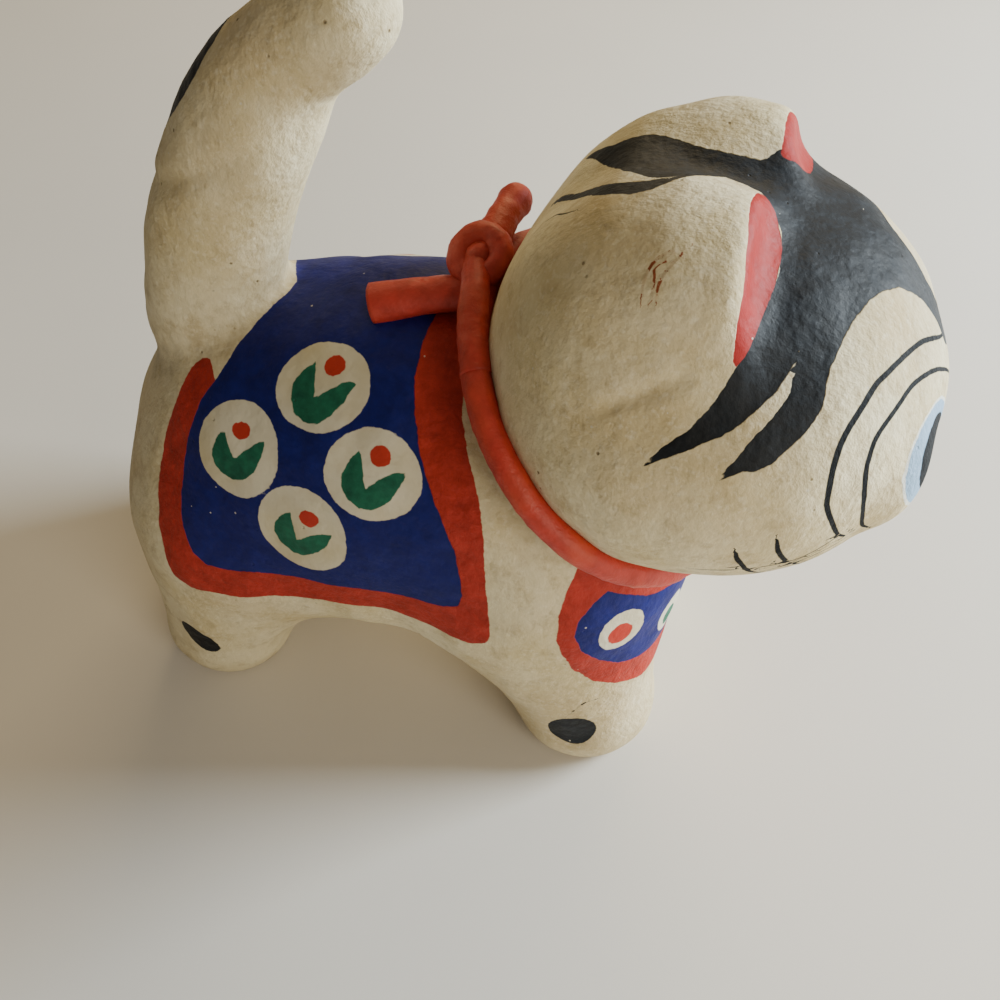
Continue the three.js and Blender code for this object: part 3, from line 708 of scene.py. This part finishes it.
class Nodes:
    """A material's node tree with one way to add a node."""

    def __init__(self, name):
        self.material = bpy.data.materials.new(name)
        self.material.use_nodes = True
        self.tree = self.material.node_tree
        self.tree.nodes.clear()

    def add(self, kind, settings=None, **inputs):
        """A node of that kind, with its own settings, and inputs that are numbers, colours or outputs."""
        node = self.tree.nodes.new(kind)
        for key, value in (settings or {}).items():
            setattr(node, key, value)
        for key, value in inputs.items():
            numbered = key[0] == "i" and key[1:].isdigit()
            socket = node.inputs[int(key[1:]) if numbered else key.replace("_", " ")]
            if isinstance(value, bpy.types.NodeSocket):
                self.tree.links.new(value, socket)
            else:
                socket.default_value = value
        return node

    def math(self, operation, a, b=0.0, c=0.0):
        """One step of arithmetic."""
        return self.add("ShaderNodeMath", {"operation": operation}, i0=a, i1=b, i2=c).outputs[0]

    def noise(self, place, millimetres, detail=3.0, roughness=0.5):
        """Noise with features of that size, 0 to 1."""
        return self.add("ShaderNodeTexNoise", Vector=place, Scale=1000.0 / millimetres, Detail=detail,
                        Roughness=roughness).outputs["Fac"]

    def over(self, factor, under, top):
        """The top colour laid over the one under it."""
        node = self.add("ShaderNodeMix", {"data_type": "RGBA"}, i0=factor)
        for index, value in ((6, under), (7, top)):
            if isinstance(value, bpy.types.NodeSocket):
                self.tree.links.new(value, node.inputs[index])
            else:
                node.inputs[index].default_value = value
        return node.outputs[2]

    def covered(self, distance, softness):
        """1 where a distance in millimetres is below zero, 0 above it, with an edge of that softness."""
        return self.add("ShaderNodeMapRange", {"interpolation_type": "SMOOTHSTEP"}, Value=distance,
                        From_Min=softness, From_Max=-softness, To_Min=0.0, To_Max=1.0).outputs[0]

    def ramp(self, value, low, high):
        """The value stretched so that low is 0 and high is 1."""
        return self.add("ShaderNodeMapRange", Value=value, From_Min=low, From_Max=high).outputs[0]


def painted_chalk_ground(paint):
    """Papier-mache under a chalk and glue ground, brushed on and painted by hand with matt water paint.

    The ground is dull and cream, with fibres, pits and brush marks, and it yellows in patches. The paint
    sits on it in thin uneven coats, with edges that follow the hand, and it shines a little more.
    """
    n = Nodes("painted_chalk_ground")
    place = n.add("ShaderNodeTexCoord").outputs["Object"]

    def stored(name):
        return n.add("ShaderNodeAttribute", {"attribute_name": name}).outputs["Fac"]

    # The brush wanders by about a third of a millimetre over a few millimetres
    slow = n.math("SUBTRACT", n.noise(place, 4.0, 2.0), 0.5)
    fine = n.math("SUBTRACT", n.noise(place, 0.9, 2.0), 0.5)
    wander = n.math("ADD", n.math("MULTIPLY", slow, 0.7), n.math("MULTIPLY", fine, 0.35))

    def mask(name, edge=0.09, grow=0.0):
        return n.covered(n.math("ADD", n.math("ADD", stored(name), wander), -grow), edge)

    def coats(spread, low, high, full, thin):
        return n.over(n.ramp(spread, low, high), linear(full), linear(thin))

    cloth_red, cloth_blue, ink, ear_red = (
        mask(name) for name in ("cloth_red", "cloth_blue", "ink", "ear_red"))

    # Mottle, yellowed patches and brushed-out coats lie in clouds of 3 to 40 mm. The chalk's own grit is
    # far finer, so it is drawn at about a millimetre to show
    mottle = n.noise(place, 14.0, 5.0, 0.62)
    patches = n.noise(place, 38.0, 3.0, 0.55)
    grain = n.noise(place, 0.9, 4.0, 0.65)
    blotch = n.noise(place, 3.2, 5.0, 0.7)
    coat = n.noise(place, 2.6, 4.0, 0.65)
    ground = coats(mottle, 0.38, 0.66, paint.ground, "#cdbd93")
    ground = n.over(n.math("MULTIPLY", n.ramp(patches, 0.45, 0.7), 0.6), ground, linear("#bda57a"))
    ground = n.over(n.math("MULTIPLY", n.ramp(blotch, 0.5, 0.68), 0.5), ground, linear("#a8946c"))
    ground = n.over(n.math("MULTIPLY", n.ramp(grain, 0.52, 0.72), 0.45), ground, linear("#ebe3cb"))
    # Dust and painted shade: the ground darkens to brown in the creases between the head, the trunk and the
    # tail
    dust_and_shade = n.math("MULTIPLY", stored("crease_dust_and_shade"), n.ramp(coat, 0.3, 0.7))
    ground = n.over(n.math("MULTIPLY", dust_and_shade, 0.6), ground, linear("#85735a"))

    # Short fibres and brown pits of the ground, drawn a little coarser than real so that they show
    pits = n.add("ShaderNodeTexVoronoi", Vector=place, Scale=1000.0 / 3.6)
    pit = n.math("MULTIPLY", n.covered(n.math("SUBTRACT", pits.outputs["Distance"], 0.055), 0.03),
                 n.ramp(n.noise(place, 8.0), 0.5, 0.56))
    ground = n.over(n.math("MULTIPLY", pit, 0.75), ground, linear("#6b5638"))

    colour = n.over(cloth_red, ground, coats(coat, 0.35, 0.75, paint.red, "#8f2419"))
    colour = n.over(cloth_blue, colour, coats(coat, 0.3, 0.8, paint.blue, "#0c1250"))
    colour = n.over(mask("roundel"), colour, coats(mottle, 0.4, 0.7, "#d6cfb9", "#c4b896"))
    colour = n.over(mask("leaf"), colour, coats(coat, 0.35, 0.75, paint.green, "#12493a"))
    colour = n.over(mask("bud"), colour, linear(paint.red))
    colour = n.over(ink, colour, coats(blotch, 0.4, 0.75, paint.ink, "#1c222a"))
    colour = n.over(ear_red, colour, coats(coat, 0.3, 0.8, paint.coral, "#8c1c19"))
    colour = n.over(mask("iris", grow=0.45), colour, linear("#dedfd8"))
    colour = n.over(mask("iris"), colour, linear(paint.iris))
    colour = n.over(mask("pupil"), colour, linear(paint.ink))

    # Brush lines round the eyes and the mouth, and the scratches, which break up
    across = n.math("ADD", stored("line_across"), n.math("MULTIPLY", wander, 0.35))
    thickness = n.math("SUBTRACT", n.math("ABSOLUTE", across), stored("line_half"))
    line = n.math("MULTIPLY", n.covered(thickness, 0.07), n.math("LESS_THAN", stored("line_near"), 1.2))
    scratched = n.math("MULTIPLY", n.math("GREATER_THAN", stored("line_brown"), 0.25),
                       n.math("LESS_THAN", n.noise(place, 1.1), 0.5))
    line = n.math("MULTIPLY", line, n.math("SUBTRACT", 1.0, n.math("MULTIPLY", scratched, 0.8)))
    stain = n.over(n.math("GREATER_THAN", stored("line_brown"), 0.75), linear(paint.ink), linear("#8a4a2e"))
    colour = n.over(line, colour, stain)

    # Tiny flecks of ground spattered or rubbed through the dark paint
    flecks = n.add("ShaderNodeTexVoronoi", Vector=place, Scale=1000.0 / 4.5)
    fleck = n.math("MULTIPLY", n.math("LESS_THAN", flecks.outputs["Distance"], 0.04),
                   n.math("GREATER_THAN", n.noise(place, 16.0), 0.5))
    colour = n.over(n.math("MULTIPLY", fleck, 0.8), colour, linear("#cfcabb"))

    # Relief: brushed ground, layered paper and the paint's own edge
    drawn_out = n.add("ShaderNodeMapping", Vector=place, Scale=(1.0, 1.2, 0.85)).outputs[0]
    fibres = n.noise(drawn_out, 1.2, 5.0, 0.62)
    lumps = n.noise(place, 6.0, 3.0)
    filled = n.math("MAXIMUM", cloth_blue, n.math("MAXIMUM", ink, ear_red))
    bare = n.math("SUBTRACT", 1.0, n.math("MULTIPLY", filled, 0.55))
    height = n.math("MULTIPLY", n.math("MULTIPLY", fibres, bare), 0.34)
    height = n.math("ADD", height, n.math("MULTIPLY", lumps, 0.7))
    height = n.math("ADD", height, n.math("MULTIPLY", pit, -0.2))
    bump = n.add("ShaderNodeBump", Height=height, Strength=0.9, Distance=0.0011)
    painted = n.math("MAXIMUM", n.math("MAXIMUM", cloth_blue, ink), n.math("MAXIMUM", cloth_red, ear_red))
    rough = n.add("ShaderNodeMapRange", Value=painted, From_Min=0.0, From_Max=1.0, To_Min=0.8, To_Max=0.58)
    rough = n.math("ADD", rough.outputs[0], n.math("MULTIPLY", n.math("SUBTRACT", grain, 0.5), 0.25))
    # Chalk and matt water paint scatter much of what a closed film would mirror
    shader = n.add("ShaderNodeBsdfPrincipled", Base_Color=colour, Roughness=rough, IOR=1.5,
                   Specular_IOR_Level=0.2, Normal=bump.outputs[0])
    n.add("ShaderNodeOutputMaterial", Surface=shader.outputs[0])
    return n.material


def painted_paper_string(colour_hex):
    """Rolled paper string, glued and brushed with vermilion paint.

    The roll leaves fine lengthwise wrinkles, and the thick paint is uneven, darker in the hollows and chipped
    white in a few spots.
    """
    n = Nodes("painted_paper_string")
    place = n.add("ShaderNodeTexCoord").outputs["Object"]
    coat = n.noise(place, 2.4, 5.0, 0.65)
    patches = n.noise(place, 8.0, 3.0)
    colour = n.over(n.ramp(coat, 0.3, 0.75), linear(colour_hex), linear("#a02c20"))
    colour = n.over(n.math("MULTIPLY", n.ramp(patches, 0.5, 0.7), 0.6), colour, linear("#c5482c"))
    chips = n.add("ShaderNodeTexVoronoi", Vector=place, Scale=1000.0 / 3.8)
    chip = n.math("MULTIPLY", n.math("LESS_THAN", chips.outputs["Distance"], 0.055),
                  n.math("GREATER_THAN", patches, 0.48))
    colour = n.over(n.math("MULTIPLY", chip, 0.85), colour, linear("#d8cdbb"))
    wrinkles = n.noise(place, 0.9, 4.0, 0.6)
    height = n.math("ADD", n.math("MULTIPLY", wrinkles, 0.4), n.math("MULTIPLY", coat, 0.8))
    bump = n.add("ShaderNodeBump", Height=height, Strength=0.6, Distance=0.0005)
    rough = n.add("ShaderNodeMapRange", Value=coat, From_Min=0.2, From_Max=0.8, To_Min=0.42, To_Max=0.62)
    shader = n.add("ShaderNodeBsdfPrincipled", Base_Color=colour, Roughness=rough.outputs[0], IOR=1.5,
                   Normal=bump.outputs[0])
    n.add("ShaderNodeOutputMaterial", Surface=shader.outputs[0])
    return n.material


def pale_paper_floor(colour_hex):
    """A matt sheet of card as the floor: even, with the faintest mottle."""
    n = Nodes("pale_card")
    place = n.add("ShaderNodeTexCoord").outputs["Object"]
    mottle = n.noise(place, 60.0, 4.0)
    colour = n.over(n.math("MULTIPLY", n.ramp(mottle, 0.4, 0.7), 0.2), linear(colour_hex), linear("#cfc9c1"))
    shader = n.add("ShaderNodeBsdfPrincipled", Base_Color=colour, Roughness=0.85)
    n.add("ShaderNodeOutputMaterial", Surface=shader.outputs[0])
    return n.material


def tube(path, radii, sides=20, closed=False, wrinkle=0.0, seed=1):
    """Points and faces of a tube along a path, its ends closed to a point, with lengthwise wrinkles."""
    path = np.asarray(path, float)
    radii = np.broadcast_to(radii, len(path))
    ahead = np.roll(path, -1, axis=0) - np.roll(path, 1, axis=0)
    if not closed:
        ahead[0] = path[1] - path[0]
        ahead[-1] = path[-1] - path[-2]
    ahead /= np.linalg.norm(ahead, axis=1)[:, None]
    side = np.cross(ahead[0], (0.31, 0.22, 0.93))
    turn = 2.0 * math.pi * np.arange(sides) / sides
    rings = []
    for place, direction, radius in zip(path, ahead, radii):
        side = unit(side - direction * (side @ direction))
        up = np.cross(direction, side)
        ring = np.cos(turn)[:, None] * side + np.sin(turn)[:, None] * up
        rings.append(place + ring * radius)
    points = np.vstack(rings)
    if wrinkle:
        centre = np.repeat(path, sides, axis=0)
        out = points - centre
        reach = np.linalg.norm(out, axis=1)[:, None] + 1e-9
        points = points + out / reach * (slow_waves(points, seed, (2.2, 4.5, 9.0), 5) * wrinkle)[:, None]
    count = len(path)
    faces = []
    for i in range(count if closed else count - 1):
        j = (i + 1) % count
        for k in range(sides):
            m = (k + 1) % sides
            faces.append((i * sides + k, i * sides + m, j * sides + m, j * sides + k))
    if not closed:
        start, end = len(points), len(points) + 1
        points = np.vstack([points, path[0], path[-1]])
        for k in range(sides):
            m = (k + 1) % sides
            faces.append((start, m, k))
            faces.append((end, (count - 1) * sides + k, (count - 1) * sides + m))
    return points, faces


def cord_parts(collar):
    """The ring, the knot's lump and loop, and the two free ends, as points and faces in millimetres."""
    thickness, end, knot = (1000.0 * v for v in (collar.thickness, collar.end_thickness, collar.knot))
    path = collar_path(thickness)
    centre = path[0] + np.array([-0.14, 0.24, 0.28]) * knot
    parts = [tube(path, thickness / 2.0, 22, closed=True, wrinkle=0.1, seed=11)]

    # The knot: a turn of cord round a lump, and the strand that comes up through it from the right
    ring = np.linspace(0.0, 2.0 * math.pi, 40, endpoint=False)
    facing = unit((-0.1, -0.74, 0.66))
    a = unit(np.cross(facing, (0.0, 0.0, 1.0)))
    b = np.cross(facing, a)
    circle = np.cos(ring)[:, None] * a + np.sin(ring)[:, None] * b
    sway = 0.07 * knot * np.sin(ring - 0.6)[:, None] * facing
    loop = centre + facing * 0.1 * knot + 0.3 * knot * circle + sway
    parts.append(tube(loop, 0.47 * thickness, 18, closed=True, wrinkle=0.12, seed=12))
    lump = [centre - facing * 0.3 * knot, centre, centre + facing * 0.12 * knot]
    parts.append(tube(smooth_line(lump, 8), 0.3 * knot, 20, wrinkle=0.1, seed=13))
    strand = [path[14], path[8] + facing * 1.0, path[3] + facing * 2.8,
              centre + facing * 2.6 + (0.0, 0.0, -1.8), centre + facing * 1.3 + (0.2, 0.0, 0.0),
              centre - facing * 1.2 + (0.2, 0.0, 1.0)]
    strand = smooth_line(strand, 10)
    parts.append(tube(strand, np.linspace(0.54, 0.44, len(strand)) * thickness, 20, wrinkle=0.1, seed=16))

    # The end that points to the tail: it flares a little and is cut off flat, with a dark hollow in the cut
    start = centre + np.array([0.07, -0.34, -0.36]) * knot
    along = np.array(TAILWARD_END[0]) * TAILWARD_END[1]
    line = smooth_line([start, start + along * 0.5 + (0.0, 0.0, 0.4), start + along], 14)
    share = np.linspace(0.0, 1.0, len(line))
    girth = end / 2.0 * (0.92 + 0.22 * share + 0.03 * np.sin(9.0 * share))
    rim = line[-1]
    inward = unit(line[-2] - line[-1])
    line = np.vstack([line, rim - inward * 0.1, rim + inward * 0.1, rim + inward * 0.8])
    girth = np.concatenate([girth, [end * 0.53, end * 0.3, end * 0.14]])
    parts.append(tube(line, girth, 20, wrinkle=0.08, seed=14))

    # The end that points to the left: round tipped
    along = np.array(LEFTWARD_END[0]) * LEFTWARD_END[1]
    line = smooth_line([centre, centre + along * 0.5 + (0.0, 0.0, 0.5), centre + along], 14)
    share = np.linspace(0.0, 1.0, len(line))
    girth = end / 2.0 * (0.94 + 0.06 * np.sin(7.0 * share))
    ahead = unit(along)
    cap = np.linspace(0.0, math.pi / 2.0, 7)[1:]
    line = np.vstack([line, line[-1] + np.sin(cap)[:, None] * ahead * end / 2.0])
    girth = np.concatenate([girth, girth[-1] * np.cos(cap) + 0.02])
    parts.append(tube(line, girth, 20, wrinkle=0.08, seed=15))
    return parts


class MouldFigure(bpy.types.Operator):
    """Mould and paint the paper dog"""

    bl_idname = "paper_dog.mould_figure"
    bl_label = "Dog"

    def execute(self, context):
        settings = context.scene.dog_form
        cell = settings.cell * 1000.0
        unevenness = settings.unevenness * 1000.0

        def field(points):
            return figure_field(points) - unevenness * hand_work(points)

        points, quads = surface_net(field, *MOULD_BOX, cell)
        points = relax(points, quads, field)
        points[:, 2] = np.maximum(points[:, 2], 0.0)
        obj = new_mesh_object("painted_dog", metres(points), quads)
        layers = paint_head(points)
        layers.update(paint_cloth(points, context.scene.dog_collar.thickness * 1000.0))
        layers["ink"] = paint_marks(points, layers["ink"])
        layers["crease_dust_and_shade"] = crease_dust_and_shade(points)
        for name, values in layers.items():
            write_paint(obj, name, values)
        obj.data.materials.append(painted_chalk_ground(context.scene.dog_paint))
        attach(obj, "root")
        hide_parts("dog_figure")
        return {"FINISHED"}


class TieCollar(bpy.types.Operator):
    """Wrap and knot the red cord round the neck"""

    bl_idname = "paper_dog.tie_collar"
    bl_label = "Collar"

    def execute(self, context):
        points = []
        faces = []
        offset = 0
        for part_points, part_faces in cord_parts(context.scene.dog_collar):
            points.append(part_points)
            faces.extend(tuple(i + offset for i in face) for face in part_faces)
            offset += len(part_points)
        obj = new_mesh_object("knotted_cord", metres(np.vstack(points)), faces)
        obj.data.materials.append(painted_paper_string(context.scene.dog_collar.red))
        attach(obj, "root")
        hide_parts("collar_cord")
        return {"FINISHED"}


def soft_light(name, place, target, size, power, colour):
    """A square area light that looks at a target."""
    lamp = bpy.data.lights.new(name, "AREA")
    lamp.energy = power
    lamp.size = size
    lamp.color = colour
    obj = bpy.data.objects.new(name, lamp)
    obj.location = place
    direction = unit(np.subtract(target, place))
    pitch = math.acos(-direction[2])
    obj.rotation_euler = (pitch, 0.0, math.atan2(direction[1], direction[0]) - math.pi / 2.0)
    bpy.context.scene.collection.objects.link(obj)
    return obj


class SetStage(bpy.types.Operator):
    """Lay the pale floor and set the soft light and the camera"""

    bl_idname = "paper_dog.set_stage"
    bl_label = "Stage"

    def execute(self, context):
        scene = context.scene
        corners = [(x * FLOOR_REACH, y * FLOOR_REACH, 0.0) for x, y in ((-1, -1), (1, -1), (1, 1), (-1, 1))]
        floor = new_mesh_object("floor", corners, [(0, 1, 2, 3)], smooth=False)
        floor.data.materials.append(pale_paper_floor(scene.dog_stage.floor))
        for name, (place, size, share, colour) in LIGHTS.items():
            soft_light(name, place, LIGHT_TARGET, size, scene.dog_stage.window_power * share, colour)
        world = bpy.data.worlds.new("soft_room")
        world.use_nodes = True
        background = world.node_tree.nodes["Background"]
        background.inputs["Color"].default_value = linear(ROOM_GLOW[0])
        background.inputs["Strength"].default_value = ROOM_GLOW[1]
        scene.world = world
        camera = bpy.data.cameras.new("camera")
        camera.lens = scene.dog_stage.lens
        camera.sensor_width = 36.0
        camera.clip_start = 0.01
        obj = bpy.data.objects.new("camera", camera)
        obj.location = CAMERA_PLACE
        obj.rotation_euler = (math.radians(CAMERA_PITCH), 0.0, math.radians(CAMERA_TURN))
        scene.collection.objects.link(obj)
        scene.camera = obj
        return {"FINISHED"}


class PaperDogPanel(bpy.types.Panel):
    """Builds the paper dog piece by piece"""

    bl_idname = "VIEW3D_PT_paper_dog"
    bl_label = "Paper dog"
    bl_space_type = "VIEW_3D"
    bl_region_type = "UI"
    bl_category = "Paper dog"

    def draw(self, context):
        layout = self.layout
        for operator in PIECES:
            layout.operator(operator.bl_idname)
        for group in (context.scene.dog_form, context.scene.dog_paint, context.scene.dog_collar,
                      context.scene.dog_stage):
            box = layout.box()
            for name in group.bl_rna.properties.keys():
                if name not in ("rna_type", "name"):
                    box.prop(group, name)


PIECES = (MouldFigure, TieCollar, SetStage)
GROUPS = {"dog_form": DogForm, "dog_paint": DogPaint, "dog_collar": DogCollar, "dog_stage": DogStage}
CLASSES = (*GROUPS.values(), *PIECES, PaperDogPanel)


def register():
    for cls in CLASSES:
        bpy.utils.register_class(cls)
    for name, group in GROUPS.items():
        setattr(bpy.types.Scene, name, bpy.props.PointerProperty(type=group))


def unregister():
    for name in GROUPS:
        delattr(bpy.types.Scene, name)
    for cls in reversed(CLASSES):
        bpy.utils.unregister_class(cls)


def main():
    """Build every piece."""
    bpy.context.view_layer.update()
    register()
    bpy.ops.paper_dog.mould_figure()
    bpy.ops.paper_dog.tie_collar()
    bpy.ops.paper_dog.set_stage()


if __name__ == "__main__":
    main()
